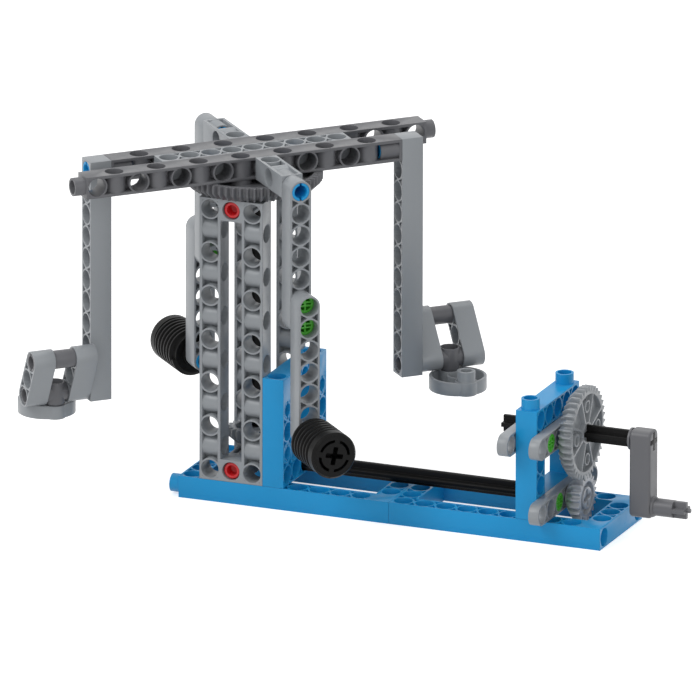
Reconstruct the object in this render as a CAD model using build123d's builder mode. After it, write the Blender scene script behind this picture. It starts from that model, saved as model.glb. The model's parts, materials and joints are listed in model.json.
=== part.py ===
from build123d import *
from math import cos, pi, radians, sin
import os

# Hand-cranked carousel demonstrator built from a peg-and-hole construction kit.
# Origin: the front left pin hole of the base, at the underside. +X runs along the base towards
# the crank, +Y from front to back, +Z up. Sizes in millimetres.

# Kit grid and bars
pitch = 10.0            # spacing of the pin holes
side_play = 0.1         # gap between two neighbouring bars
hole_dia = 8.3          # pin hole
pin_play = 0.05         # radial play of a pin in its hole
pin_bore = 5.8          # inside of the pins
peg_bore = 6.2          # inside of the pegs on frames and rods
peg_length = 4.8
web = 1.6               # middle wall of an open bar
flange = 1.3            # side walls of an open bar
slot_width = 1.0        # slots across the ends of a pin
slot_depth = 3.2
ring_wall = 0.75        # tube round a hole that crosses an open pocket
nose_dia = 7.3          # narrow end of the red pins
nose_bore = 4.8
nose_length = 1.5
nose_inset = 1.1        # set back from the face of the tower
rib_recess = 3.5        # depth of the small triangular recesses between holes
recess_wall = 0.9       # wall left outside those recesses
recess_width = 3.6
recess_height = 3.0

# Base and its upright frames
base_holes = 10         # holes along one base frame
frame_holes = 5         # holes across a frame
crank_frame_at = 16     # grid column of the frame that carries the crank
side_frame_at = 4       # grid column of the frame beside the tower

# Tower
tower_holes = 13        # holes up the tower
tower_at = 1            # grid column of the tower's left posts
tower_width = 3         # grid columns across the tower

# Axles and gears
axle_play = 0.3         # radial play of an axle in a round hole
arm_width = 2.0         # web of the cross-shaped axles
bore_play = 0.1         # play beside the web in a cross-shaped bore
module = 1.0            # tooth size
small_teeth = 20
middle_teeth = 40
large_teeth = 60
tooth_root = 0.98       # half the tooth at its root, and at its tip, in modules
tooth_tip = 0.3
tooth_play = 0.12       # taken off each flank at the pitch line
root_gap = 0.15         # space between a tip and the root it meets
gear_height = 7.0
bevel_height = 3.2      # tapered part of the teeth
gear_hub = 10.0
hub_height = 1.6        # hub standing proud of the tapered face
shaft_gap = 0.4         # end play of a gear beside its bearing
gear_station = 172.0    # where the spur teeth at the crank end begin
gear_recess = 2.4
rim = 1.5
rib_width = 1.0         # ribs of the crank's gear
lug_place = 0.7         # rings between those ribs, as a share of the rim's radius
lug_dia = 5.7
lug_bore = 4.4

# Crank
crank_radius = 30.0
crank_arm_at = 200.5    # inner face of the crank arm
crank_thickness = 9.9
crank_corner = 3.0
crank_edge = 1.2
boss_height = 1.0       # low bosses on both faces of the crank arm
boss_taper = 30.0
handle_dia = 7.9
handle_length = 15.7
handle_round = 9.9      # round stretch of the handle
nub_length = 1.7
crank_axle_left = 139.5
drive_axle_left = 15.5
drive_axle_right = 174.0

# Carousel
carousel_turn = 45.0    # how far the carousel is drawn from the base's direction
rotor_gap = 0.4         # large gear above the tower
main_arm_holes = 15
main_arm_start = -80.0  # first hole of the front arm, from the axis
middle_holes = 9
hanger_holes = 11
weight_rod_holes = 7
rod_overlap = 5         # holes that the lower weight rod is set down
weight_dia = 21.0
weight_length = 26.5
weight_chamfer = 1.0
weight_gap = 1.9        # hub of the weight against its rod
weight_hub = 11.0
thread_pitch = 3.14
thread_depth = 1.7
thread_ends = (0.3, 0.5, 0.7)   # ends of crest, flank and root, as shares of the thread pitch
thread_plain = 5.5      # smooth band at the outer end
weight_slot = 4.8       # curved slots in its end face
weight_slot_width = 1.3
connector_reach = 40.0
connector_inset = 0.5   # its ends, behind the faces of the rods
connector_hollow = 8.0
tube_dia = 8.9          # upright tube of the connector
tube_bore = 7.7
disc_peg_bore = 5.0
disc_dia = 25.6
disc_height = 6.0
disc_wall = 1.4
disc_offset = 9.3       # disc centre to its socket and to its peg
disc_gap = 0.45         # below the seat rods
left_lean = 26.6        # backs of the two seats, from upright
right_lean = 36.9

bar = pitch - side_play
thin = pitch / 2 - side_play
pin_dia = hole_dia - 2 * pin_play
axle_dia = hole_dia - 2 * axle_play
ring_dia = hole_dia + 2 * ring_wall
base_length = base_holes * pitch


def level(row):
    """Height of a grid row; row 0 is the middle of the base."""
    return bar / 2 + row * pitch


axis_x = (tower_at + 1) * pitch
axis_y = (frame_holes - 1) * pitch / 2
drive_z = level(1)
crank_z = level(1) + module * (small_teeth + middle_teeth) / 2
tower_top = level(tower_holes) + bar / 2
arm_z = tower_top + rotor_gap + gear_height + side_play + bar / 2
half_small = 180 / small_teeth

os.makedirs("parts", exist_ok=True)


def save(piece, name):
    piece.label = name
    export_step(piece, f"parts/{name}.step")


def row_of(count, start=0.0):
    return [(start + index * pitch, 0) for index in range(count)]


def copies(piece, places):
    """One solid of the piece at each place."""
    with BuildPart() as group:
        with Locations(*places):
            add(piece)
    return group.part


def at(origin, along, facing):
    """Place for a piece whose row of holes runs along and whose holes or pockets are facing."""
    return Plane(origin=origin, x_dir=along, z_dir=facing).location


def cut_recesses(gaps, across):
    """Small triangular recesses beside each gap between two holes, in both faces."""
    outer = bar / 2 - recess_wall
    with Locations(*gaps):
        for side in (1, -1):
            points = [(-recess_width / 2, side * outer), (recess_width / 2, side * outer),
                      (0, side * (outer - recess_height))]
            if across:
                points = [(y, x) for x, y in points]
            Polygon(*points, align=None)


def holed_rod(holes, thickness, rounded):
    """Rod with plain holes; first hole at the origin, rod along +X, holes along Z."""
    length = holes * pitch - side_play
    middle = (holes - 1) * pitch / 2
    gaps = row_of(holes - 1, pitch / 2)
    depth = min(rib_recess, thickness / 2 - web / 2)
    with BuildPart() as rod:
        with BuildSketch(Plane.XY.offset(-thickness / 2)):
            with Locations((middle, 0)):
                if rounded:
                    SlotOverall(length, bar)
                else:
                    Rectangle(length, bar)
            with Locations(*row_of(holes)):
                Circle(hole_dia / 2, mode=Mode.SUBTRACT)
        extrude(amount=thickness)
        for face in (1, -1):
            with BuildSketch(Plane.XY.offset(face * thickness / 2)):
                cut_recesses(gaps, False)
            extrude(amount=-face * depth, mode=Mode.SUBTRACT)
    return rod.part


def pegs(*points):
    """Hollow pegs standing out towards -X."""
    with Locations(*[(x - peg_length / 2, y, z) for x, y, z in points]):
        Cylinder(pin_dia / 2, peg_length, rotation=(0, 90, 0))
        Cylinder(peg_bore / 2, peg_length, rotation=(0, 90, 0), mode=Mode.SUBTRACT)


def grid_frame(along, across):
    """Rectangular frame with one row of holes round a window.

    First hole at the origin, pegs on the -X end, sockets in the +X end, holes along Z.
    """
    length, width = along * pitch - side_play, across * pitch - side_play
    middle = ((along - 1) * pitch / 2, (across - 1) * pitch / 2)
    last = (along - 1) * pitch
    side = (across - 1) * pitch
    holes = [(column * pitch, line * pitch) for column in range(along) for line in range(across)
             if (column in (0, along - 1) or line in (0, across - 1))
             and not (column == along - 1 and line in (0, across - 1))]
    lengthwise = [(x + pitch / 2, y) for y in (0, side) for x, _ in row_of(along - 2)]
    crosswise = [(x, y + pitch / 2) for x in (0, last) for y, _ in row_of(across - 1)]
    crosswise = [(x, y) for x, y in crosswise if x == 0 or pitch < y < side - pitch]
    with BuildPart() as frame:
        with BuildSketch(Plane.XY.offset(-bar / 2)):
            with Locations(middle):
                Rectangle(length, width)
                Rectangle(length - 2 * bar, width - 2 * bar, mode=Mode.SUBTRACT)
            with Locations(*holes):
                Circle(hole_dia / 2, mode=Mode.SUBTRACT)
        extrude(amount=bar)
        for face in (1, -1):
            with BuildSketch(Plane.XY.offset(face * bar / 2)):
                cut_recesses(lengthwise, False)
                cut_recesses(crosswise, True)
            extrude(amount=-face * rib_recess, mode=Mode.SUBTRACT)
        pegs((-bar / 2, 0, 0), (-bar / 2, side, 0))
        for y in (0, side):
            with BuildSketch(Plane(origin=(last + bar / 2, y, 0), z_dir=(1, 0, 0))):
                Circle(hole_dia / 2)
            extrude(amount=-(bar - flange), mode=Mode.SUBTRACT)
    return frame.part


def alternate(cells, y=0.0):
    """Centres of every other hole of an open bar: those along Z, then those along Y."""
    centres = [(index * pitch, y, 0) for index in range(cells)]
    return centres[::2], centres[1::2]


def open_walls(length, middle, y=0.0):
    """Middle wall, side walls and end walls of an open bar along +X, open towards +Z and -Z."""
    with Locations((middle, y, 0)):
        Box(length, bar, web)
        with GridLocations(0, bar - flange, 1, 2):
            Box(length, flange, bar)
        with GridLocations(length - flange, 0, 2, 1):
            Box(flange, bar, bar)


def dual_rod(cells):
    """Open rod whose holes face Z and Y in turn; peg at the first hole, socket at the last."""
    length = cells * pitch - side_play
    middle = (cells - 1) * pitch / 2
    last = (cells - 1) * pitch
    round_cells, side_cells = alternate(cells - 1)
    with BuildPart() as rod:
        open_walls(length, middle)
        with Locations(*round_cells):
            Cylinder(ring_dia / 2, bar)
        with Locations(*side_cells):
            Cylinder(ring_dia / 2, bar, rotation=(90, 0, 0))
        with Locations((last, 0, 0)):
            Cylinder(ring_dia / 2, bar, rotation=(0, 90, 0))
            Cylinder(hole_dia / 2, pitch, rotation=(0, 90, 0), mode=Mode.SUBTRACT)
        with Locations(*round_cells):
            Cylinder(hole_dia / 2, bar, mode=Mode.SUBTRACT)
        with Locations(*side_cells):
            Cylinder(hole_dia / 2, bar, rotation=(90, 0, 0), mode=Mode.SUBTRACT)
        pegs((-bar / 2, 0, 0))
    return rod.part


def tower_frame():
    """Tall frame, first hole of the left post at the origin, posts along +X, pockets facing Z."""
    length = tower_holes * pitch - side_play
    reach = (tower_width - 1) * pitch
    width = reach + bar
    top = (tower_holes - 1) * pitch
    with BuildPart() as frame:
        for y in (0, reach):
            open_walls(length, top / 2, y)
            round_cells, side_cells = alternate(tower_holes, y)
            with Locations(*round_cells):
                Cylinder(ring_dia / 2, bar)
            with Locations(*side_cells):
                Cylinder(ring_dia / 2, bar, rotation=(90, 0, 0))
        with Locations((0, reach / 2, 0), (top, reach / 2, 0)):
            Box(bar, width - 2 * bar + 2 * flange, bar)
            Cylinder(hole_dia / 2, bar, mode=Mode.SUBTRACT)
        for y in (0, reach):
            round_cells, side_cells = alternate(tower_holes, y)
            with Locations(*round_cells):
                Cylinder(hole_dia / 2, bar, mode=Mode.SUBTRACT)
            with Locations(*side_cells):
                Cylinder(hole_dia / 2, bar, rotation=(90, 0, 0), mode=Mode.SUBTRACT)
    return frame.part


def pin(length):
    """Hollow pin along Z about the origin, with a slot across each end."""
    with BuildPart() as body:
        Cylinder(pin_dia / 2, length)
        Cylinder(pin_bore / 2, length, mode=Mode.SUBTRACT)
        for end in (1, -1):
            with Locations((0, 0, end * (length - slot_depth) / 2)):
                Box(slot_width, pitch, slot_depth, mode=Mode.SUBTRACT)
    return body.part


def grille_pin(length):
    """Short pin closed by a middle wall, with bars across each end."""
    with BuildPart() as body:
        Cylinder(pin_dia / 2, length)
        for end in (1, -1):
            with BuildSketch(Plane.XY.offset(end * length / 2)):
                Circle(pin_bore / 2)
                Rectangle(web / 2, pin_bore, mode=Mode.SUBTRACT)
                with GridLocations(0, web, 1, 2):
                    Rectangle(pin_bore, web / 2, mode=Mode.SUBTRACT)
            extrude(amount=-end * (length - web) / 2, mode=Mode.SUBTRACT)
    return body.part


def nosed_pin():
    """Long pin along -Z whose narrow hollow nose is set back from the origin plane."""
    shoulder = nose_inset + nose_length
    with BuildPart() as body:
        with BuildSketch(Plane.XY.offset(-nose_inset)):
            Circle(nose_dia / 2)
        extrude(amount=-nose_length)
        with BuildSketch(Plane.XY.offset(-shoulder)):
            Circle(pin_dia / 2)
        extrude(amount=-(2 * pitch - side_play - shoulder))
        with BuildSketch(Plane.XY.offset(-nose_inset)):
            Circle(nose_bore / 2)
        extrude(amount=-peg_length, mode=Mode.SUBTRACT)
    return body.part


def cross(radius, width):
    """Cross-shaped outline inside a circle."""
    with BuildSketch() as outline:
        Rectangle(2 * radius, width)
        Rectangle(width, 2 * radius)
        Circle(radius, mode=Mode.INTERSECT)
    return outline.sketch


axle_section = cross(axle_dia / 2, arm_width)
bore_section = cross(hole_dia / 2, arm_width + 2 * bore_play)


def axle(length):
    """Cross-shaped axle along +Z from the origin."""
    with BuildPart() as body:
        with BuildSketch():
            add(axle_section)
        extrude(amount=length)
    return body.part


def tooth_outline(teeth, scale):
    """Corner points of a toothed wheel with one tooth centred on +X."""
    pitch_radius = teeth * module / 2
    step = 2 * pi / teeth
    root = pitch_radius - module - root_gap
    tip = pitch_radius + module
    widths = [(root, tooth_root * module), (pitch_radius, pi * module / 4 - tooth_play),
              (tip, tooth_tip * module)]
    corners = [(r, -half / r) for r, half in widths]
    corners += [(r, half / r) for r, half in reversed(widths)]
    return [(scale * r * cos(step * tooth + turn), scale * r * sin(step * tooth + turn))
            for tooth in range(teeth) for r, turn in corners]


def gear(teeth, hub, spokes, pin_holes=()):
    """Wheel with straight teeth above Z = 0 and tapered teeth below it, cross-shaped bore."""
    pitch_radius = teeth * module / 2
    spur_height = gear_height - bevel_height
    taper = (pitch_radius - bevel_height) / pitch_radius
    inner_rim = pitch_radius - module - root_gap - rim
    with BuildPart() as wheel:
        with BuildSketch() as full_teeth:
            Polygon(*tooth_outline(teeth, 1.0), align=None)
        extrude(amount=spur_height)
        with BuildSketch(Plane.XY.offset(-bevel_height)) as small_end:
            Polygon(*tooth_outline(teeth, taper), align=None)
        loft([full_teeth.sketch, small_end.sketch], ruled=True)
        with BuildSketch(Plane.XY.offset(spur_height)):
            Circle(inner_rim)
            Circle(gear_hub / 2, mode=Mode.SUBTRACT)
            for index in range(spokes):
                with Locations(Location((0, 0, 0), (0, 0, 360 * (index + 0.5) / spokes))):
                    with Locations((inner_rim / 2, 0)):
                        Rectangle(inner_rim, rib_width, mode=Mode.SUBTRACT)
            if spokes:
                with PolarLocations(lug_place * inner_rim, spokes // 2):
                    Circle(lug_dia / 2, mode=Mode.SUBTRACT)
                    Circle(lug_bore / 2)
            if pin_holes:
                with Locations(*pin_holes):
                    Circle(ring_dia / 2, mode=Mode.SUBTRACT)
        extrude(amount=-gear_recess, mode=Mode.SUBTRACT)
        if hub:
            with BuildSketch(Plane.XY.offset(-bevel_height)):
                Circle(gear_hub / 2)
            extrude(amount=-hub)
        with BuildSketch(Plane.XY.offset(spur_height)):
            add(bore_section)
            if pin_holes:
                with Locations(*pin_holes):
                    Circle(hole_dia / 2)
        extrude(amount=-(gear_height + hub), mode=Mode.SUBTRACT)
    return wheel.part


# Base: two ten-hole frames plugged end to end
base_piece = grid_frame(base_holes, frame_holes)
for name, shift in (("base_frame_left", 0), ("base_frame_right", base_length)):
    save(copies(base_piece, [Location((shift, 0, level(0)))]), name)

# Upright frames: the crank's frame stands pegs up, the tower's pegs down in the base
upright_piece = grid_frame(frame_holes, frame_holes)
crank_frame_x = crank_frame_at * pitch
side_frame_x = side_frame_at * pitch
with BuildPart() as crank_frame:
    with Locations(at((crank_frame_x, 0, level(frame_holes)), (0, 0, -1), (1, 0, 0))):
        add(upright_piece)
save(crank_frame.part, "crank_frame")
with BuildPart() as tower_side_frame:
    with Locations(at((side_frame_x, (frame_holes - 1) * pitch, level(1)), (0, 0, 1), (1, 0, 0))):
        add(upright_piece)
save(tower_side_frame.part, "tower_side_frame")

# Pins in the crank frame's sockets, down into the base
short_pin = pin(2 * peg_length)
dowel_spots = [(crank_frame_x, y, level(0) + pitch / 2) for y in (0, (frame_holes - 1) * pitch)]
save(copies(short_pin, dowel_spots), "crank_frame_dowels")

# Tower: a front and a rear frame, tied by two short open rods
tower_piece = tower_frame()
rear_y = (frame_holes - 1) * pitch
for name, y in (("tower_front_frame", 0), ("tower_rear_frame", rear_y)):
    place = at(((tower_at + tower_width - 1) * pitch, y, level(1)), (0, 0, 1), (0, -1, 0))
    save(copies(tower_piece, [place]), name)

spacer = dual_rod(3)
spacer_y = rear_y - pitch
with BuildPart() as tower_bottom_spacer:
    with Locations(at((axis_x, spacer_y, level(1)), (0, -1, 0), (0, 0, 1))):
        add(spacer)
save(tower_bottom_spacer.part, "tower_bottom_spacer")
with BuildPart() as tower_top_spacer:
    with Locations(at((axis_x, spacer_y, level(tower_holes)), (0, -1, 0), (1, 0, 0))):
        add(spacer)
save(tower_top_spacer.part, "tower_top_spacer")

front_face = -bar / 2
red_spots = [at((axis_x, front_face, level(row)), (1, 0, 0), (0, -1, 0)) for row in (1, tower_holes)]
save(copies(nosed_pin(), red_spots), "tower_red_pins")

# Long pins that hold the tower to its side frame
long_pin = pin(2 * pitch - side_play)
joint_x = (side_frame_x + (tower_at + tower_width - 1) * pitch) / 2
side_spots = [at((joint_x, y, level(row)), (0, 1, 0), (1, 0, 0)) for y in (0, rear_y) for row in (2, 4)]
save(copies(long_pin, side_spots), "tower_side_pins")

# Bearing rods on the crank frame and their pins
bearing_piece = holed_rod(7, thin, True)
rod_shift = (bar + thin) / 2 + side_play
outside_x = crank_frame_x + rod_shift
inside_x = crank_frame_x - rod_shift
crank_row = round(module * (small_teeth + middle_teeth) / 2 / pitch) + 1
bearing_y = axis_y - 3 * pitch
bearings = (("lower_bearing_rod", outside_x, 1), ("upper_bearing_rod", outside_x, crank_row),
            ("inner_bearing_rod", inside_x, crank_row))
for name, x, row in bearings:
    save(copies(bearing_piece, [at((x, bearing_y, level(row)), (0, 1, 0), (1, 0, 0))]), name)

green_pin = grille_pin(pitch - side_play)
outer_x = crank_frame_x + pitch / 2
inner_x = crank_frame_x - pitch / 2
outer_spots = [at((outer_x, y, level(row)), (0, 1, 0), (1, 0, 0))
               for y, row in ((pitch, 1), (3 * pitch, 1), (0, crank_row), (rear_y, crank_row))]
inner_spots = [at((inner_x, y, level(crank_row)), (0, 1, 0), (-1, 0, 0)) for y in (0, rear_y)]
save(copies(green_pin, outer_spots + inner_spots), "bearing_rod_pins")

# Drive shaft along the base with a gear at each end
small_gear = gear(small_teeth, hub_height, 0)
drive_turn = Location((0, 0, 0), (0, 0, half_small))
with BuildPart() as drive_shaft:
    with Locations(at((drive_axle_left, axis_y, drive_z), (0, 1, 0), (1, 0, 0)) * drive_turn):
        add(axle(drive_axle_right - drive_axle_left))
save(drive_shaft.part, "drive_shaft")
bevel_reach = module * small_teeth / 2
with BuildPart() as drive_bevel_gear:
    with Locations(at((axis_x + bevel_reach, axis_y, drive_z), (0, 1, 0), (1, 0, 0)) * drive_turn):
        add(small_gear)
save(drive_bevel_gear.part, "drive_bevel_gear")
spur_x = gear_station + bevel_height
with BuildPart() as drive_spur_gear:
    with Locations(at((spur_x, axis_y, drive_z), (0, 1, 0), (1, 0, 0)) * drive_turn):
        add(small_gear)
save(drive_spur_gear.part, "drive_spur_gear")

# Crank: axle, gear and arm with its handle
with BuildPart() as crank_axle:
    with Locations(at((crank_axle_left, axis_y, crank_z), (0, 1, 0), (1, 0, 0))):
        add(axle(crank_arm_at + crank_thickness - crank_axle_left))
save(crank_axle.part, "crank_axle")
with BuildPart() as crank_gear:
    with Locations(at((spur_x, axis_y, crank_z), (0, 1, 0), (1, 0, 0))):
        add(gear(middle_teeth, hub_height, 8))
save(crank_gear.part, "crank_gear")

handle_z = crank_z - crank_radius
crank_face = crank_arm_at + crank_thickness
cross_length = handle_length - handle_round
with BuildPart() as crank_arm:
    with BuildSketch(Plane.YZ.offset(crank_arm_at)):
        with Locations((axis_y, (crank_z + handle_z) / 2)):
            RectangleRounded(bar, crank_radius + bar, crank_corner)
    extrude(amount=crank_thickness)
    arm_faces = crank_arm.part.faces().sort_by(Axis.X)
    fillet(arm_faces[0].edges() + arm_faces[-1].edges(), crank_edge)
    with BuildSketch(Plane.YZ.offset(crank_arm_at)):
        with Locations((axis_y, crank_z)):
            Circle(bar / 2)
    extrude(amount=-boss_height)
    with BuildSketch(Plane.YZ.offset(crank_face)):
        with Locations((axis_y, handle_z)):
            Circle(bar / 2 - side_play)
    extrude(amount=boss_height, taper=boss_taper)
    with BuildSketch(Plane.YZ.offset(crank_face)):
        with Locations((axis_y, handle_z)):
            Circle(handle_dia / 2)
    extrude(amount=handle_round)
    with BuildSketch(Plane.YZ.offset(crank_face + handle_round)):
        with Locations((axis_y, handle_z)):
            add(axle_section)
    extrude(amount=cross_length)
    with BuildSketch(Plane.YZ.offset(crank_face + handle_length)):
        with Locations((axis_y, handle_z)):
            Circle(arm_width / 2)
    extrude(amount=nub_length)
    with BuildSketch(Plane.YZ.offset(crank_arm_at - boss_height)):
        with Locations((axis_y, crank_z)):
            add(bore_section)
    extrude(amount=crank_thickness + boss_height, mode=Mode.SUBTRACT)
save(crank_arm.part, "crank_arm")

# Vertical axle and its gears
axle_bottom = drive_z + bar / 2 + shaft_gap
with BuildPart() as carousel_axle:
    with Locations((axis_x, axis_y, axle_bottom)):
        add(axle(arm_z - bar / 2 - side_play - axle_bottom))
save(carousel_axle.part, "carousel_axle")
with BuildPart() as carousel_bevel_gear:
    with Locations((axis_x, axis_y, drive_z + bevel_reach)):
        add(small_gear)
save(carousel_bevel_gear.part, "carousel_bevel_gear")

# The carousel is laid out with its main arm along X and its near side towards -Y, then turned
turn = Location((axis_x, axis_y, 0), (0, 0, carousel_turn))
half_turn = Location((0, 0, 0), (0, 0, 180))
sides = (("right", "front", turn), ("left", "rear", turn * half_turn))


def spot(place, origin, along, facing):
    """Place on the carousel: origin as (outwards, towards the viewer, height)."""
    out, near, height = origin
    return place * at((out, -near, height), along, facing)


gear_pin_holes = [(10, 10), (-10, -10), (-10, 10), (10, -10), (20, 0), (-20, 0)]
turned = [Vector(x, y).rotate(Axis.Z, carousel_turn) for x, y in gear_pin_holes]
with BuildPart() as carousel_gear:
    with Locations((axis_x, axis_y, tower_top + rotor_gap + bevel_height)):
        add(gear(large_teeth, 0, 0, [(point.X, point.Y) for point in turned]))
save(carousel_gear.part, "carousel_gear")

gear_pin = pin(pitch - side_play)
gear_pin_z = arm_z - pitch / 2 + side_play
gear_pin_spots = [spot(turn, (x, y, gear_pin_z), (1, 0, 0), (0, 0, 1)) for x, y in gear_pin_holes]
save(copies(gear_pin, gear_pin_spots), "carousel_gear_pins")

middle_piece = holed_rod(middle_holes, bar, False)
middle_start = -(middle_holes - 1) * pitch / 2
save(copies(middle_piece, [spot(turn, (middle_start, 0, arm_z), (1, 0, 0), (0, 0, 1))]), "middle_rod")

main_piece = dual_rod(main_arm_holes)
hanger_piece = holed_rod(hanger_holes, bar, False)
weight_rod = holed_rod(weight_rod_holes, bar, True)
seat_rod = holed_rod(3, bar, True)
arm_side = pitch
hanger_out = main_arm_start + main_arm_holes * pitch
cross_near = 2 * pitch
tie_near = cross_near + 3 * pitch
weight_near = tie_near + pitch
weight_top = arm_z - rod_overlap * pitch
weight_z = weight_top - (weight_rod_holes - 1) * pitch
weight_inner = weight_near + bar / 2 + side_play + weight_gap
connector_z = arm_z - (hanger_holes - 1) * pitch
seat_mid = hanger_out + 2 * pitch
disc_top = connector_z - bar / 2 - disc_gap
disc_near = arm_side + disc_offset

# Threaded weight along +Z from its hub
with BuildPart() as weight:
    with BuildSketch(Plane.XZ):
        with BuildLine():
            crest, root = weight_dia / 2, weight_dia / 2 - thread_depth
            turns = int((weight_length - thread_plain) / thread_pitch)
            start = weight_length - thread_plain - turns * thread_pitch
            outline = [(0, 0), (root, 0), (crest, thread_depth / 2)]
            for index in range(turns):
                low = start + index * thread_pitch
                outline += [(radius, low + share * thread_pitch)
                            for radius, share in zip((crest, root, root), thread_ends)]
                outline += [(crest, low + thread_pitch)]
            outline += [(crest, weight_length - weight_chamfer)]
            outline += [(crest - weight_chamfer, weight_length), (0, weight_length)]
            Polyline(*outline, close=True)
        make_face()
    revolve(axis=Axis.Z)
    with BuildSketch():
        Circle(weight_hub / 2)
    extrude(amount=-weight_gap)
    with BuildSketch(Plane.XY.offset(-weight_gap)):
        Circle(hole_dia / 2)
    extrude(amount=pitch + weight_gap, mode=Mode.SUBTRACT)
    with BuildSketch(Plane.XY.offset(weight_length)):
        Circle(weight_slot + 2 * weight_slot_width)
        Circle(weight_slot + weight_slot_width, mode=Mode.SUBTRACT)
        with PolarLocations(weight_slot, 4):
            Rectangle(pitch, arm_width, mode=Mode.SUBTRACT)
        add(bore_section)
    extrude(amount=-pitch, mode=Mode.SUBTRACT)

# Connector: a hollow pin along +Z with an upright tube across it and a peg below
connector_length = connector_reach - side_play - 2 * connector_inset
connector_start = connector_inset - bar / 2
with BuildPart() as connector:
    with BuildSketch(Plane.XY.offset(connector_start)):
        Circle(pin_dia / 2)
    extrude(amount=connector_length)
    with BuildSketch(Plane.XY.offset(connector_start)):
        Circle(pin_bore / 2)
    extrude(amount=connector_hollow, mode=Mode.SUBTRACT)
    with BuildSketch(Plane.XY.offset(connector_start + connector_length)):
        Circle(pin_bore / 2)
    extrude(amount=-connector_hollow, mode=Mode.SUBTRACT)
    with BuildSketch(Plane.XZ.offset(bar / 2)):
        with Locations((0, 2 * pitch)):
            Circle(tube_dia / 2)
    extrude(amount=-bar)
    with BuildSketch(Plane.XZ.offset(bar / 2)):
        with Locations((0, 2 * pitch)):
            Circle(pin_dia / 2)
    extrude(amount=peg_length)
    with BuildSketch(Plane.XZ.offset(-bar / 2)):
        with Locations((0, 2 * pitch)):
            Circle(tube_bore / 2)
    extrude(amount=connector_hollow, mode=Mode.SUBTRACT)

# Foot disc: a shallow cup with a socket at one side, a hollow peg at the other and a middle hole
with BuildPart() as disc:
    with BuildSketch():
        Circle(disc_dia / 2)
        with Locations((0, disc_offset), (0, -disc_offset)):
            Circle(ring_dia / 2)
    extrude(amount=-disc_height)
    with BuildSketch():
        Circle(disc_dia / 2 - disc_wall)
        with Locations((0, disc_offset), (0, -disc_offset), (0, 0)):
            Circle(ring_dia / 2, mode=Mode.SUBTRACT)
    extrude(amount=-(disc_height - disc_wall), mode=Mode.SUBTRACT)
    with BuildSketch():
        with Locations((0, -disc_offset)):
            Circle(pin_dia / 2)
    extrude(amount=peg_length)
    with BuildSketch(Plane.XY.offset(peg_length)):
        with Locations((0, -disc_offset)):
            Circle(disc_peg_bore / 2)
    extrude(amount=-(disc_height + peg_length), mode=Mode.SUBTRACT)
    with BuildSketch():
        with Locations((0, disc_offset), (0, 0)):
            Circle(hole_dia / 2)
    extrude(amount=-(disc_height - disc_wall / 2), mode=Mode.SUBTRACT)

for side, end, place in sides:
    main_at = spot(place, (main_arm_start, arm_side, arm_z), (1, 0, 0), (0, -1, 0))
    save(copies(main_piece, [main_at]), f"main_arm_{end}")
    cross_at = spot(place, (0, cross_near, arm_z), (0, -1, 0), (0, 0, 1))
    save(copies(spacer, [cross_at]), f"cross_arm_{end}")

    # Seat hanger on its pin, at the open end of the main arm
    pin_out = hanger_out - pitch / 2
    hanger_pin_at = spot(place, (pin_out, arm_side, arm_z), (0, 1, 0), (1, 0, 0))
    save(copies(long_pin, [hanger_pin_at]), f"hanger_pin_{side}")
    hanger_at = spot(place, (hanger_out, arm_side, arm_z), (0, 0, -1), (1, 0, 0))
    save(copies(hanger_piece, [hanger_at]), f"hanger_{side}")
    connector_at = spot(place, (hanger_out, arm_side, connector_z), (0, 1, 0), (1, 0, 0))
    save(copies(connector.part, [connector_at]), f"seat_connector_{side}")
    disc_at = spot(place, (seat_mid, disc_near, disc_top), (1, 0, 0), (0, 0, 1))
    save(copies(disc.part, [disc_at]), f"seat_disc_{side}")

    # Seat back: two leaning rods joined by a pin at the top
    lean = radians(right_lean if side == "right" else left_lean)
    rod_spots = [spot(place, (out, arm_side, connector_z), (0, sin(lean), cos(lean)), (1, 0, 0))
                 for out in (hanger_out + pitch, hanger_out + 3 * pitch)]
    save(copies(seat_rod, rod_spots), f"seat_back_{side}")
    top_near = arm_side - 2 * pitch * sin(lean)
    top_z = connector_z + 2 * pitch * cos(lean)
    top_at = spot(place, (seat_mid, top_near, top_z), (0, 1, 0), (1, 0, 0))
    save(copies(pin(3 * pitch - side_play), [top_at]), f"seat_back_pin_{side}")

    # Weight on two rods, hung from the cross arm
    tie_at = spot(place, (0, tie_near - pitch / 2, arm_z), (1, 0, 0), (0, -1, 0))
    save(copies(long_pin, [tie_at]), f"weight_rod_pin_{end}")
    upper_at = spot(place, (0, tie_near, arm_z), (0, 0, -1), (0, -1, 0))
    save(copies(weight_rod, [upper_at]), f"upper_weight_rod_{end}")
    lower_at = spot(place, (0, weight_near, weight_top), (0, 0, -1), (0, -1, 0))
    save(copies(weight_rod, [lower_at]), f"lower_weight_rod_{end}")
    green_spots = [spot(place, (0, tie_near + pitch / 2, weight_top - drop), (1, 0, 0), (0, -1, 0))
                   for drop in (0, pitch)]
    save(copies(grille_pin(pitch - side_play), green_spots), f"weight_rod_dowels_{end}")
    weight_pin_at = spot(place, (0, weight_near + pitch / 2, weight_z), (1, 0, 0), (0, -1, 0))
    save(copies(long_pin, [weight_pin_at]), f"weight_pin_{end}")
    weight_at = spot(place, (0, weight_inner, weight_z), (1, 0, 0), (0, -1, 0))
    save(copies(weight.part, [weight_at]), f"weight_{end}")
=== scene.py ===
import json
from math import asin, cos, pi, radians, sin

import bmesh
import bpy
from mathutils import Matrix, Vector


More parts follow.
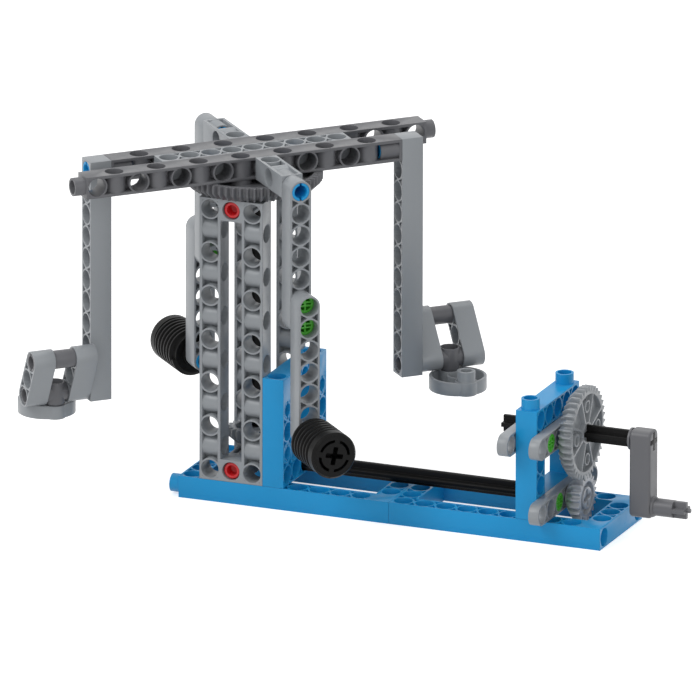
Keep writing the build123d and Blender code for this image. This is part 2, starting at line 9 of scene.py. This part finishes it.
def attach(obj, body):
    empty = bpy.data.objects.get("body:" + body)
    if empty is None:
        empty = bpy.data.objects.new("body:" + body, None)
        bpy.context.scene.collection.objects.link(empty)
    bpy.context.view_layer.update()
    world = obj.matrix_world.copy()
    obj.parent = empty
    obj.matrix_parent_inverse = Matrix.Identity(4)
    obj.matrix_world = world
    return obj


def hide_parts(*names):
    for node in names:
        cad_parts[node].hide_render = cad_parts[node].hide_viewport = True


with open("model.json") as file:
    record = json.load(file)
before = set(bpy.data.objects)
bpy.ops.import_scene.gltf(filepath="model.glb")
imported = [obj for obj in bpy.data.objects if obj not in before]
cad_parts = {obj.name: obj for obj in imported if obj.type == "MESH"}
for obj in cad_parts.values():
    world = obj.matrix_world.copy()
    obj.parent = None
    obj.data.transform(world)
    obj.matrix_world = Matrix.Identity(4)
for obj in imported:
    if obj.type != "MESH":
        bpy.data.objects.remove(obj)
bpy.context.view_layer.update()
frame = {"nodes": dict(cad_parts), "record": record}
mm = 0.001
print("frame loaded:", len(frame["nodes"]), "nodes")


noiseRoughness = 0.55


def newGroup(name, inputs, outputs):
    group = bpy.data.node_groups.new(name, "ShaderNodeTree")
    for label, kind in inputs:
        group.interface.new_socket(label, in_out="INPUT", socket_type=kind)
    for label, kind in outputs:
        group.interface.new_socket(label, in_out="OUTPUT", socket_type=kind)
    return group, group.nodes.new("NodeGroupInput"), group.nodes.new("NodeGroupOutput")


def addGroup(tree, group, values):
    node = tree.nodes.new("ShaderNodeGroup")
    node.node_tree = group
    for label, value in values.items():
        node.inputs[label].default_value = value
    return node


def noise(tree, vector, pattern):
    node = tree.nodes.new("ShaderNodeTexNoise")
    node.inputs["Scale"].default_value = pattern["scale"]
    node.inputs["Detail"].default_value = pattern["detail"]
    node.inputs["Roughness"].default_value = noiseRoughness
    tree.links.new(vector, node.inputs["Vector"])
    return node.outputs["Fac"]


def maths(tree, operation, first, second, clamp=False):
    node = tree.nodes.new("ShaderNodeMath")
    node.operation = operation
    node.use_clamp = clamp
    for socket, value in zip(node.inputs, (first, second)):
        if isinstance(value, (int, float)):
            socket.default_value = value
        else:
            tree.links.new(value, socket)
    return node.outputs[0]


def spread(tree, value, low, high, outLow=0.0, outHigh=1.0):
    node = tree.nodes.new("ShaderNodeMapRange")
    ends = {"From Min": low, "From Max": high, "To Min": outLow, "To Max": outHigh}
    for label, number in ends.items():
        node.inputs[label].default_value = number
    tree.links.new(value, node.inputs["Value"])
    return node.outputs["Result"]


def patches(tree, vector, pattern):
    # Noise, with only the part from low to high of its range kept
    return spread(tree, noise(tree, vector, pattern), pattern["low"], pattern["high"])


def mixColour(tree, factor, first, second):
    node = tree.nodes.new("ShaderNodeMix")
    node.data_type = "RGBA"
    for socket, value in zip((node.inputs[0], *node.inputs[6:8]), (factor, first, second)):
        if isinstance(value, tuple):
            socket.default_value = value
        else:
            tree.links.new(value, socket)
    return node.outputs[2]


pigment = {"Flow": {"scale": 38, "detail": 4, "low": 0.36, "high": 0.66},
           "Speckle": {"scale": 1900, "detail": 2, "low": 0.4, "high": 0.7}}


def mouldToneGroup():
    # Slow flow marks and a faint speckle in the pigment of moulded plastic
    inputs = [("Vector", "NodeSocketVector"), ("Colour", "NodeSocketColor"),
              ("Shade Colour", "NodeSocketColor"), ("Flow", "NodeSocketFloat"),
              ("Speckle", "NodeSocketFloat")]
    group, start, end = newGroup("mouldTone", inputs, [("Colour", "NodeSocketColor")])
    toned = start.outputs["Colour"]
    for label, pattern in pigment.items():
        share = patches(group, start.outputs["Vector"], pattern)
        share = maths(group, "MULTIPLY", share, start.outputs[label], True)
        toned = mixColour(group, share, toned, start.outputs["Shade Colour"])
    group.links.new(toned, end.inputs["Colour"])
    return group


# Dust lies where the upward share of a face's normal is above dustSlope
wear = {"rub": {"scale": 85, "detail": 5, "low": 0.35, "high": 0.7},
        "scratches": {"scale": 2600, "detail": 2, "low": 0.66, "high": 0.72},
        "scratchTurn": (0.4, 0.2, 0.7), "scratchStretch": (1.0, 0.06, 0.4),
        "grain": {"scale": 1500, "detail": 3}, "grainHeight": 0.5,
        "dust": {"scale": 140, "detail": 6, "low": 0.42, "high": 0.75}, "dustSlope": 0.75}


def handlingGroup():
    # Rubbed patches, fine scratches and settled dust
    inputs = [("Vector", "NodeSocketVector"), ("Normal", "NodeSocketVector"),
              ("Base", "NodeSocketFloat"), ("Rub", "NodeSocketFloat"),
              ("Scratches", "NodeSocketFloat")]
    outputs = [("Roughness", "NodeSocketFloat"), ("Height", "NodeSocketFloat"),
               ("Dust", "NodeSocketFloat")]
    group, start, end = newGroup("handling", inputs, outputs)
    vector = start.outputs["Vector"]
    rub = maths(group, "MULTIPLY", patches(group, vector, wear["rub"]), start.outputs["Rub"])
    stretch = group.nodes.new("ShaderNodeMapping")
    stretch.inputs["Rotation"].default_value = wear["scratchTurn"]
    stretch.inputs["Scale"].default_value = wear["scratchStretch"]
    group.links.new(vector, stretch.inputs["Vector"])
    lines = patches(group, stretch.outputs["Vector"], wear["scratches"])
    lines = maths(group, "MULTIPLY", lines, start.outputs["Scratches"], True)
    rough = maths(group, "ADD", start.outputs["Base"], rub)
    rough = maths(group, "ADD", rough, lines, True)
    grain = maths(group, "MULTIPLY", noise(group, vector, wear["grain"]), wear["grainHeight"])
    height = maths(group, "SUBTRACT", grain, lines)
    split = group.nodes.new("ShaderNodeSeparateXYZ")
    group.links.new(start.outputs["Normal"], split.inputs[0])
    upward = spread(group, split.outputs["Z"], wear["dustSlope"], 1.0)
    dust = maths(group, "MULTIPLY", upward, patches(group, vector, wear["dust"]), True)
    for label, result in (("Roughness", rough), ("Height", height), ("Dust", dust)):
        group.links.new(result, end.inputs[label])
    return group


mouldTone = mouldToneGroup()
handling = handlingGroup()

surfaceFinish = {"dustColour": (0.62, 0.61, 0.58, 1), "edgeSamples": 4, "bumpDepth": 0.05,
                 "ior": 1.5}


def plastic(name, look):
    # One moulded plastic: tone, handling marks, dust, softened edges
    material = bpy.data.materials.new(name)
    material.use_nodes = True
    tree = material.node_tree
    shader = tree.nodes["Principled BSDF"]
    place = tree.nodes.new("ShaderNodeTexCoord").outputs["Object"]
    surface = tree.nodes.new("ShaderNodeNewGeometry")
    shade = (*[channel * look["shade"] for channel in look["colour"]], 1)
    tone = addGroup(tree, mouldTone, {"Colour": (*look["colour"], 1), "Shade Colour": shade,
                                      "Flow": look["flow"], "Speckle": look["speckle"]})
    marks = addGroup(tree, handling, {"Base": look["roughness"], "Rub": look["rub"],
                                      "Scratches": look["scratches"]})
    for node in (tone, marks):
        tree.links.new(place, node.inputs["Vector"])
    tree.links.new(surface.outputs["Normal"], marks.inputs["Normal"])
    dusty = maths(tree, "MULTIPLY", marks.outputs["Dust"], look["dust"])
    colour = mixColour(tree, dusty, tone.outputs["Colour"], surfaceFinish["dustColour"])
    tree.links.new(colour, shader.inputs["Base Color"])
    tree.links.new(marks.outputs["Roughness"], shader.inputs["Roughness"])
    rounded = tree.nodes.new("ShaderNodeBevel")
    rounded.samples = surfaceFinish["edgeSamples"]
    rounded.inputs["Radius"].default_value = look["edge"] * mm
    bump = tree.nodes.new("ShaderNodeBump")
    bump.inputs["Strength"].default_value = look["bump"]
    bump.inputs["Distance"].default_value = surfaceFinish["bumpDepth"] * mm
    tree.links.new(rounded.outputs["Normal"], bump.inputs["Normal"])
    tree.links.new(marks.outputs["Height"], bump.inputs["Height"])
    tree.links.new(bump.outputs["Normal"], shader.inputs["Normal"])
    shader.inputs["IOR"].default_value = surfaceFinish["ior"]
    shader.inputs["Specular IOR Level"].default_value = look["gloss"]
    return material


greyLook = {"shade": 0.90, "flow": 0.35, "speckle": 0.12, "roughness": 0.30, "rub": 0.10,
            "scratches": 0.12, "dust": 0.10, "edge": 0.30, "bump": 0.25, "gloss": 0.5}
looks = {
    "blue_plastic": {**greyLook, "colour": (0.010, 0.325, 0.690), "shade": 0.86, "dust": 0.04,
                     "gloss": 0.3},
    "light_grey_plastic": {**greyLook, "colour": (0.300, 0.320, 0.340)},
    "dark_grey_plastic": {**greyLook, "colour": (0.140, 0.142, 0.153), "gloss": 0.35},
    "black_plastic": {**greyLook, "colour": (0.006, 0.006, 0.006), "roughness": 0.34,
                      "dust": 0.006, "gloss": 0.12},
    "green_plastic": {**greyLook, "colour": (0.075, 0.500, 0.030)},
    "red_plastic": {**greyLook, "colour": (0.640, 0.016, 0.022)},
    # A brighter copy of the light grey, with more gloss: painted highlight for one gear
    "painted_highlight_grey_plastic": {**greyLook, "colour": (0.430, 0.450, 0.480), "gloss": 0.8},
}
# Painted highlight: the gear that meshes with the crank's gear is given a brighter grey than its
# slot says, standing in for the highlights it catches
ownLook = {"drive_spur_gear": "painted_highlight_grey_plastic"}
materials = {name: plastic(name, look) for name, look in looks.items()}
for part in frame["record"]["subparts"]:
    node = frame["nodes"][part["node"]]
    node.data.materials.clear()
    node.data.materials.append(materials[ownLook.get(part["node"], part["material_slot"])])
print("materials:", len(materials))


def newTree(name, sizes):
    # A Geometry Nodes tree with a named input for each size
    tree = bpy.data.node_groups.new(name, "GeometryNodeTree")
    tree.interface.new_socket("Geometry", in_out="INPUT", socket_type="NodeSocketGeometry")
    for label, size in sizes.items():
        socket = tree.interface.new_socket(label, in_out="INPUT", socket_type="NodeSocketFloat")
        socket.default_value = size
    tree.interface.new_socket("Geometry", in_out="OUTPUT", socket_type="NodeSocketGeometry")
    return tree


moulding = {"merge": 0.002, "flat": 0.6, "edge": 0.22, "sharp": 32.0, "segments": 2}


def smoothTree():
    # Merges the loose triangles and keeps an edge sharp only where the surface really turns
    tree = newTree("smoothMoulding", {"Merge Distance": moulding["merge"] * mm,
                                      "Sharp Angle": radians(moulding["sharp"])})
    start, end = tree.nodes.new("NodeGroupInput"), tree.nodes.new("NodeGroupOutput")
    merge = tree.nodes.new("GeometryNodeMergeByDistance")
    angle = tree.nodes.new("GeometryNodeInputMeshEdgeAngle")
    isFlat = tree.nodes.new("FunctionNodeCompare")
    isFlat.data_type = "FLOAT"
    isFlat.operation = "LESS_EQUAL"
    faces = tree.nodes.new("GeometryNodeSetShadeSmooth")
    edges = tree.nodes.new("GeometryNodeSetShadeSmooth")
    edges.domain = "EDGE"
    tree.links.new(start.outputs["Geometry"], merge.inputs["Geometry"])
    tree.links.new(start.outputs["Merge Distance"], merge.inputs["Distance"])
    tree.links.new(angle.outputs["Unsigned Angle"], isFlat.inputs[0])
    tree.links.new(start.outputs["Sharp Angle"], isFlat.inputs[1])
    tree.links.new(merge.outputs["Geometry"], faces.inputs["Geometry"])
    tree.links.new(faces.outputs["Geometry"], edges.inputs["Geometry"])
    tree.links.new(isFlat.outputs["Result"], edges.inputs["Shade Smooth"])
    tree.links.new(edges.outputs["Geometry"], end.inputs["Geometry"])
    return tree


smoothMoulding = smoothTree()


def soften(node):
    # Welds the mesh, clears its flat faces and rounds every edge a little
    weld = node.modifiers.new("weld", "WELD")
    weld.merge_threshold = moulding["merge"] * mm
    flatten = node.modifiers.new("flatten", "DECIMATE")
    flatten.decimate_type = "DISSOLVE"
    flatten.angle_limit = radians(moulding["flat"])
    bevel = node.modifiers.new("bevel", "BEVEL")
    bevel.width = moulding["edge"] * mm
    bevel.segments = moulding["segments"]
    bevel.limit_method = "ANGLE"
    bevel.angle_limit = radians(moulding["sharp"])
    bevel.use_clamp_overlap = True
    smooth = node.modifiers.new("smooth", "NODES")
    smooth.node_group = smoothMoulding


for part in frame["record"]["subparts"]:
    soften(frame["nodes"][part["node"]])
print("mouldings softened")


# Threaded weights: a thread winds round each body, and the outer face has a cross and four slots
weight = {"hub": 5.5, "hubLength": 1.9, "bore": 4.15, "boreDepth": 10.0, "root": 8.8,
          "crest": 10.5, "bandStart": 20.8, "bandSlope": 0.5, "length": 26.5, "chamfer": 1.0,
          "slotInner": 6.1, "slotOuter": 7.4, "slotGap": 10.0, "slotDepth": 6.0,
          "armHalf": 1.1, "middle": 0.02, "sides": 96, "merge": 0.004,
          "pitch": 3.14, "turns": 6.4, "stepsPerTurn": 72, "threadStart": 1.3,
          "crestShare": 0.30, "rootShare": 0.80, "profileTurn": 90.0,
          "centre": (20.0, 20.0, 42.35), "reach": 66.95, "screwTurn": -12.0}


def threadTree():
    # A helical ridge added round the mesh it is given
    tree = newTree("weightThread", {
        "Root Radius": weight["root"] * mm,
        "Ridge Depth": (weight["crest"] - weight["root"]) * mm,
        "Ridge Foot": weight["rootShare"] * weight["pitch"] * mm,
        "Ridge Crest": weight["crestShare"] * weight["pitch"] * mm,
        "Turns": weight["turns"],
        "Climb": weight["turns"] * weight["pitch"] * mm,
        "Start": weight["threadStart"] * mm})
    tree.interface.new_socket("Surface", in_out="INPUT", socket_type="NodeSocketMaterial")
    start, end = tree.nodes.new("NodeGroupInput"), tree.nodes.new("NodeGroupOutput")
    helix = tree.nodes.new("GeometryNodeCurveSpiral")
    helix.inputs["Resolution"].default_value = weight["stepsPerTurn"]
    for label, source in (("Rotations", "Turns"), ("Height", "Climb")):
        tree.links.new(start.outputs[source], helix.inputs[label])
    middle = maths(tree, "MULTIPLY", start.outputs["Ridge Depth"], 0.5)
    radius = maths(tree, "ADD", start.outputs["Root Radius"], middle)
    for label in ("Start Radius", "End Radius"):
        tree.links.new(radius, helix.inputs[label])
    upright = tree.nodes.new("GeometryNodeSetCurveNormal")
    upright.mode = "Z_UP"
    tree.links.new(helix.outputs["Curve"], upright.inputs["Curve"])
    profile = tree.nodes.new("GeometryNodeCurvePrimitiveQuadrilateral")
    profile.mode = "TRAPEZOID"
    sides = {"Height": "Ridge Depth", "Bottom Width": "Ridge Foot", "Top Width": "Ridge Crest"}
    for label, source in sides.items():
        tree.links.new(start.outputs[source], profile.inputs[label])
    profile.inputs["Offset"].default_value = 0
    turned = tree.nodes.new("GeometryNodeTransform")
    turned.inputs["Rotation"].default_value = (0, 0, radians(weight["profileTurn"]))
    tree.links.new(profile.outputs["Curve"], turned.inputs["Geometry"])
    ridge = tree.nodes.new("GeometryNodeCurveToMesh")
    tree.links.new(upright.outputs["Curve"], ridge.inputs["Curve"])
    tree.links.new(turned.outputs["Geometry"], ridge.inputs["Profile Curve"])
    ridge.inputs["Fill Caps"].default_value = True
    lift = tree.nodes.new("ShaderNodeCombineXYZ")
    tree.links.new(start.outputs["Start"], lift.inputs["Z"])
    lifted = tree.nodes.new("GeometryNodeTransform")
    tree.links.new(ridge.outputs["Mesh"], lifted.inputs["Geometry"])
    tree.links.new(lift.outputs["Vector"], lifted.inputs["Translation"])
    both = tree.nodes.new("GeometryNodeJoinGeometry")
    tree.links.new(lifted.outputs["Geometry"], both.inputs["Geometry"])
    tree.links.new(start.outputs["Geometry"], both.inputs["Geometry"])
    real = tree.nodes.new("GeometryNodeRealizeInstances")
    tree.links.new(both.outputs["Geometry"], real.inputs["Geometry"])
    cover = tree.nodes.new("GeometryNodeSetMaterial")
    tree.links.new(real.outputs["Geometry"], cover.inputs["Geometry"])
    tree.links.new(start.outputs["Surface"], cover.inputs["Material"])
    tree.links.new(cover.outputs["Geometry"], end.inputs["Geometry"])
    return tree


def pointAt(radius, angle, height):
    return radius * cos(angle) * mm, radius * sin(angle) * mm, height * mm


def turnedSide():
    # Turned along +Z, from the bottom of the bore to the rim of the outer face
    bore, hub, root, crest = (weight[key] for key in ("bore", "hub", "root", "crest"))
    length, chamfer, bandStart = weight["length"], weight["chamfer"], weight["bandStart"]
    profile = [(0, weight["boreDepth"]), (bore, weight["boreDepth"]),
               (bore, -weight["hubLength"]), (hub, -weight["hubLength"]), (hub, 0), (root, 0),
               (root, bandStart), (crest, bandStart + weight["bandSlope"]),
               (crest, length - chamfer), (crest - chamfer, length)]
    sides = weight["sides"]
    points = [pointAt(radius, 2 * pi * side / sides, height)
              for radius, height in profile for side in range(sides)]
    faces = []
    for low in range(0, (len(profile) - 1) * sides, sides):
        high = low + sides
        for side in range(sides):
            after = (side + 1) % sides
            faces.append((low + side, low + after, high + after, high + side))
    return points, faces


quarterSteps = 8  # lines in a quarter of the outer face; turnAt and depthOf count on eight


def turnAt(ring, step):
    # Lines beside a cross arm lean in to keep the arm straight
    quarter, place = divmod(step, quarterSteps)
    gap = radians(weight["slotGap"])
    armAngle = asin(weight["armHalf"] / weight["bore"])
    arm = (pi / 4, pi / 4, armAngle, gap, gap, gap)[ring]
    table = (0, arm / 2, arm, (arm + pi / 4) / 2, pi / 4)
    angle = table[place] if place <= 4 else pi / 2 - table[quarterSteps - place]
    return quarter * pi / 2 + angle


def depthOf(ring, step):
    # The cross in the middle and the four curved slots are sunk
    nearArm = step % quarterSteps in (0, 1, 6, 7)
    inCross = ring == 0 or (ring == 1 and nearArm)
    inSlot = ring == 3 and not nearArm
    return weight["length"] - (weight["slotDepth"] if inCross or inSlot else 0)


def addOuterFace(points, faces):
    # Sectors at two depths, with an upright wall where two neighbours differ
    edges = [weight["middle"], weight["armHalf"] * 2 ** 0.5, weight["bore"],
             weight["slotInner"], weight["slotOuter"], weight["crest"] - weight["chamfer"]]
    steps = 4 * quarterSteps

    def addFace(*corners):
        for ring, step, height in corners:
            points.append(pointAt(edges[ring], turnAt(ring, step % steps), height))
        faces.append(list(range(len(points) - len(corners), len(points))))

    for ring in range(len(edges) - 1):
        outer = ring + 1
        for step in range(steps):
            after = step + 1
            height = depthOf(ring, step)
            addFace((ring, step, height), (outer, step, height),
                    (outer, after, height), (ring, after, height))
            beside = depthOf(ring, after)
            if beside != height:
                addFace((ring, after, height), (outer, after, height),
                        (outer, after, beside), (ring, after, beside))
            beyond = depthOf(outer, step) if outer < len(edges) - 1 else weight["length"]
            if beyond != height:
                addFace((outer, step, height), (outer, after, height),
                        (outer, after, beyond), (outer, step, beyond))


def weightBody():
    points, faces = turnedSide()
    addOuterFace(points, faces)
    mesh = bpy.data.meshes.new("weightBody")
    mesh.from_pydata(points, [], faces)
    merged = bmesh.new()
    merged.from_mesh(mesh)
    bmesh.ops.remove_doubles(merged, verts=merged.verts, dist=weight["merge"] * mm)
    bmesh.ops.recalc_face_normals(merged, faces=merged.faces)
    merged.to_mesh(mesh)
    merged.free()
    return mesh


weightThread = threadTree()
surfaceKey = next(item.identifier for item in weightThread.interface.items_tree
                  if item.name == "Surface")
body = weightBody()
diagonal = 2 ** -0.5
for end, hand in (("front", 1), ("rear", -1)):
    maker = bpy.data.objects.new(f"weight_{end}_maker", body)
    bpy.context.collection.objects.link(maker)
    winding = maker.modifiers.new("thread", "NODES")
    winding.node_group = weightThread
    winding[surfaceKey] = materials["black_plastic"]
    bpy.context.view_layer.update()
    made = maker.evaluated_get(bpy.context.evaluated_depsgraph_get())
    mesh = bpy.data.meshes.new_from_object(made)
    maker.modifiers.remove(winding)
    bpy.data.objects.remove(maker)
    threaded = bpy.data.objects.new(f"threaded_weight_{end}", mesh)
    bpy.context.collection.objects.link(threaded)
    outward = Vector((hand * diagonal, -hand * diagonal, 0))
    level = Vector((hand * diagonal, hand * diagonal, 0))
    place = Vector(weight["centre"]) + outward * weight["reach"]
    facing = Matrix((level, Vector((0, 0, 1)), outward)).transposed().to_4x4()
    screwed = Matrix.Rotation(radians(weight["screwTurn"]), 4, "Z")
    threaded.matrix_world = Matrix.Translation(place * mm) @ facing @ screwed
    smoothing = threaded.modifiers.new("smooth", "NODES")
    smoothing.node_group = smoothMoulding
    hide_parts(f"weight_{end}")
    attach(threaded, f"{end}_weight")
print("threaded weights made")


# Each lamp has its name, place, size and watts
studio = {"floorHalf": 3.0, "floorTone": 0.80, "floorGlow": 0.62, "worldLight": 0.45,
          "aim": (0.08, 0.02, 0.07),
          "lamps": [("keyLamp", (-0.75, -1.05, 1.45), 1.1, 14.0),
                    ("fillLamp", (1.3, -0.9, 0.7), 1.2, 3.5),
                    ("topLamp", (0.1, 0.5, 1.6), 1.2, 6.5)]}


def backdropRays(tree):
    # 1 for what the camera sees straight on, in a gloss or through something clear
    rays = tree.nodes.new("ShaderNodeLightPath").outputs
    seen = maths(tree, "MAXIMUM", rays["Is Camera Ray"], rays["Is Glossy Ray"])
    return maths(tree, "MAXIMUM", seen, rays["Is Transmission Ray"])


def floorSurface():
    # White where the camera looks, still darkened by the object's shadow
    material = bpy.data.materials.new("studioFloor")
    material.use_nodes = True
    tree = material.node_tree
    tree.nodes.clear()
    output = tree.nodes.new("ShaderNodeOutputMaterial")
    diffuse = tree.nodes.new("ShaderNodeBsdfDiffuse")
    diffuse.inputs["Color"].default_value = (studio["floorTone"],) * 3 + (1,)
    glow = tree.nodes.new("ShaderNodeEmission")
    strength = maths(tree, "MULTIPLY", backdropRays(tree), studio["floorGlow"])
    tree.links.new(strength, glow.inputs["Strength"])
    both = tree.nodes.new("ShaderNodeAddShader")
    tree.links.new(diffuse.outputs[0], both.inputs[0])
    tree.links.new(glow.outputs[0], both.inputs[1])
    tree.links.new(both.outputs[0], output.inputs["Surface"])
    return material


half = studio["floorHalf"]
floorCorners = [(-half, -half, 0), (half, -half, 0), (half, half, 0), (-half, half, 0)]
floorMesh = bpy.data.meshes.new("studioFloor")
floorMesh.from_pydata(floorCorners, [], [(0, 1, 2, 3)])
floorMesh.materials.append(floorSurface())
studioFloor = bpy.data.objects.new("studioFloor", floorMesh)
bpy.context.collection.objects.link(studioFloor)

world = bpy.data.worlds.new("studio")
bpy.context.scene.world = world
world.use_nodes = True
worldTree = world.node_tree
background = worldTree.nodes["Background"]
background.inputs["Color"].default_value = (1, 1, 1, 1)
strength = spread(worldTree, backdropRays(worldTree), 0, 1, studio["worldLight"], 1.0)
worldTree.links.new(strength, background.inputs["Strength"])

for lampName, spot, size, watts in studio["lamps"]:
    lamp = bpy.data.lights.new(lampName, "AREA")
    lamp.size = size
    lamp.energy = watts
    holder = bpy.data.objects.new(lampName, lamp)
    holder.location = spot
    towards = Vector(studio["aim"]) - Vector(spot)
    holder.rotation_euler = towards.to_track_quat("-Z", "Y").to_euler()
    bpy.context.collection.objects.link(holder)

# Long lens, as near to parallel as the photograph
shot = {"place": (5.29297, -12.76770, 4.46538), "azimuth": -22.231, "elevation": 17.652,
        "roll": 0.109, "lens": 1696, "sensor": 36, "nearest": 0.5, "farthest": 60}
azimuth, elevation, roll = (radians(shot[key]) for key in ("azimuth", "elevation", "roll"))
ahead = Vector((cos(elevation) * sin(azimuth), cos(elevation) * cos(azimuth), -sin(elevation)))
right = ahead.cross(Vector((0, 0, 1))).normalized()
up = right.cross(ahead)
across = cos(roll) * right + sin(roll) * up
upward = cos(roll) * up - sin(roll) * right
lens = bpy.data.cameras.new("camera")
lens.lens = shot["lens"]
lens.sensor_width = shot["sensor"]
lens.clip_start, lens.clip_end = shot["nearest"], shot["farthest"]
camera = bpy.data.objects.new("camera", lens)
camera.matrix_world = Matrix((across, upward, -ahead)).transposed().to_4x4()
camera.location = shot["place"]
bpy.context.collection.objects.link(camera)
bpy.context.scene.camera = camera
bpy.context.scene.view_settings.view_transform = "Standard"
print("studio and camera ready")
